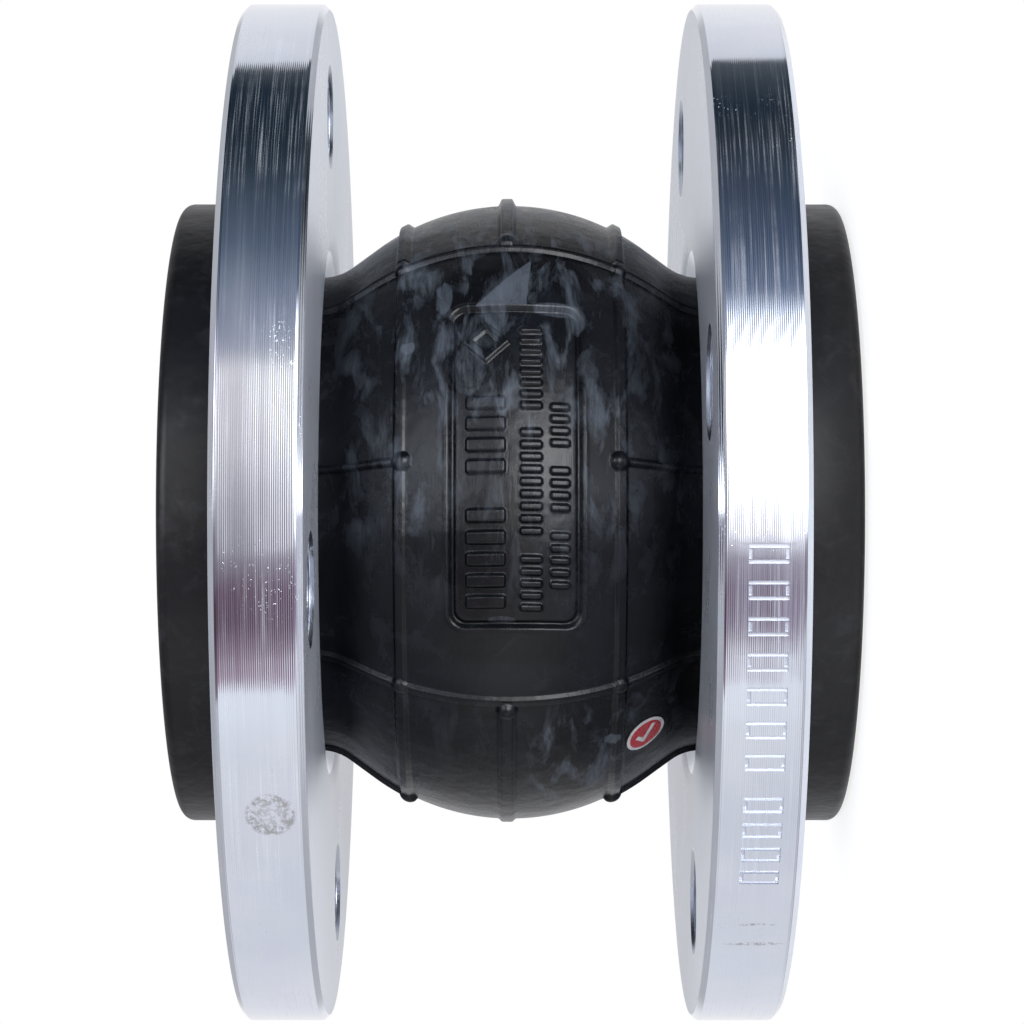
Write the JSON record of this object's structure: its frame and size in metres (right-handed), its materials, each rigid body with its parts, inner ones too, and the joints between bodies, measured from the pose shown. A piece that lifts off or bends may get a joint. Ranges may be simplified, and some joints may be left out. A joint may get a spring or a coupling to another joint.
{
  "type": "rubber expansion joint",
  "caption": "Single-arch rubber expansion joint with loose swivelling steel flanges, a moulded bellows and sealing collars.",
  "frame": {"origin": "centre of the lower sealing face, at the bottom of the object", "axes": "+Z along the pipe axis from the lower flange to the upper flange; -Y towards the side seen in the picture, with the moulded panel"},
  "size_m": [0.185, 0.185, 0.119],
  "materials": {
    "zinc_steel": "turned rim with fine circumferential lines, bright zinc plating with a faint blue and purple tint",
    "rubber_black": "moulded black rubber, satin, with chalky blue-grey mould-release smears",
    "filler_rubber": "hard bead filler rubber, matt",
    "tube_rubber": "smooth inner tube rubber, satin",
    "nylon_cord": "rubberised nylon tyre-cord ply, parallel cords on the bias",
    "hoop_steel": "drawn high-carbon wire, dull",
    "label_film": "glossy printed film, red with a white border and a white tick"
  },
  "bodies": {
    "lower_end": {"lower_collar": "rubber_black", "lower_bead_filler": "filler_rubber", "lower_hoop_wire_1": "hoop_steel", "lower_hoop_wire_2": "hoop_steel", "lower_hoop_wire_3": "hoop_steel", "lower_hoop_wire_4": "hoop_steel"},
    "lower_flange": {"lower_flange": "zinc_steel"},
    "lower_neck": {"inner_tube": "tube_rubber", "inspection_label": "label_film"},
    "lower_flank": {"inner_ply": "nylon_cord"},
    "crown": {"outer_cover": "rubber_black"},
    "upper_flank": {"middle_ply": "nylon_cord"},
    "upper_neck": {"outer_ply": "nylon_cord"},
    "upper_end": {"upper_collar": "rubber_black", "upper_bead_filler": "filler_rubber", "upper_hoop_wire_1": "hoop_steel", "upper_hoop_wire_2": "hoop_steel", "upper_hoop_wire_3": "hoop_steel", "upper_hoop_wire_4": "hoop_steel"},
    "upper_flange": {"upper_flange": "zinc_steel"}
  },
  "joints": [
    {"name": "lower_flange_swivel", "type": "hinge", "parent": "lower_end", "child": "lower_flange", "pos_m": [0, 0, 0.02], "axis": [0, 0, 1], "continuous": true},
    {"name": "axial_lower", "type": "slide", "parent": "lower_end", "child": "lower_neck", "axis": [0, 0, 1], "range_m": [-0.004, 0.003], "stiffness_N_per_m": 120000, "deforming": ["inner_tube"]},
    {"name": "lateral_lower", "type": "slide", "parent": "lower_neck", "child": "lower_flank", "axis": [1, 0, 0], "range_m": [-0.0045, 0.0045], "stiffness_N_per_m": 160000, "deforming": ["inner_ply"]},
    {"name": "bend_lower", "type": "hinge", "parent": "lower_flank", "child": "crown", "pos_m": [0, 0, 0.0595], "axis": [0, 1, 0], "range_deg": [-7.5, 7.5], "stiffness_Nm_per_rad": 160, "deforming": ["outer_cover"]},
    {"name": "bend_upper", "type": "hinge", "parent": "crown", "child": "upper_flank", "pos_m": [0, 0, 0.0595], "axis": [0, 1, 0], "range_deg": [-7.5, 7.5], "stiffness_Nm_per_rad": 160, "deforming": ["middle_ply"]},
    {"name": "lateral_upper", "type": "slide", "parent": "upper_flank", "child": "upper_neck", "axis": [1, 0, 0], "range_m": [-0.0045, 0.0045], "stiffness_N_per_m": 160000, "deforming": ["outer_ply"]},
    {"name": "axial_upper", "type": "slide", "parent": "upper_neck", "child": "upper_end", "axis": [0, 0, 1], "range_m": [-0.004, 0.003], "stiffness_N_per_m": 120000},
    {"name": "upper_flange_swivel", "type": "hinge", "parent": "upper_end", "child": "upper_flange", "pos_m": [0, 0, 0.099], "axis": [0, 0, 1], "continuous": true}
  ],
  "couplings": [
    {"joint": "axial_upper", "follows": "axial_lower", "ratio": 1},
    {"joint": "lateral_upper", "follows": "lateral_lower", "ratio": 1},
    {"joint": "bend_upper", "follows": "bend_lower", "ratio": 1}
  ]
}
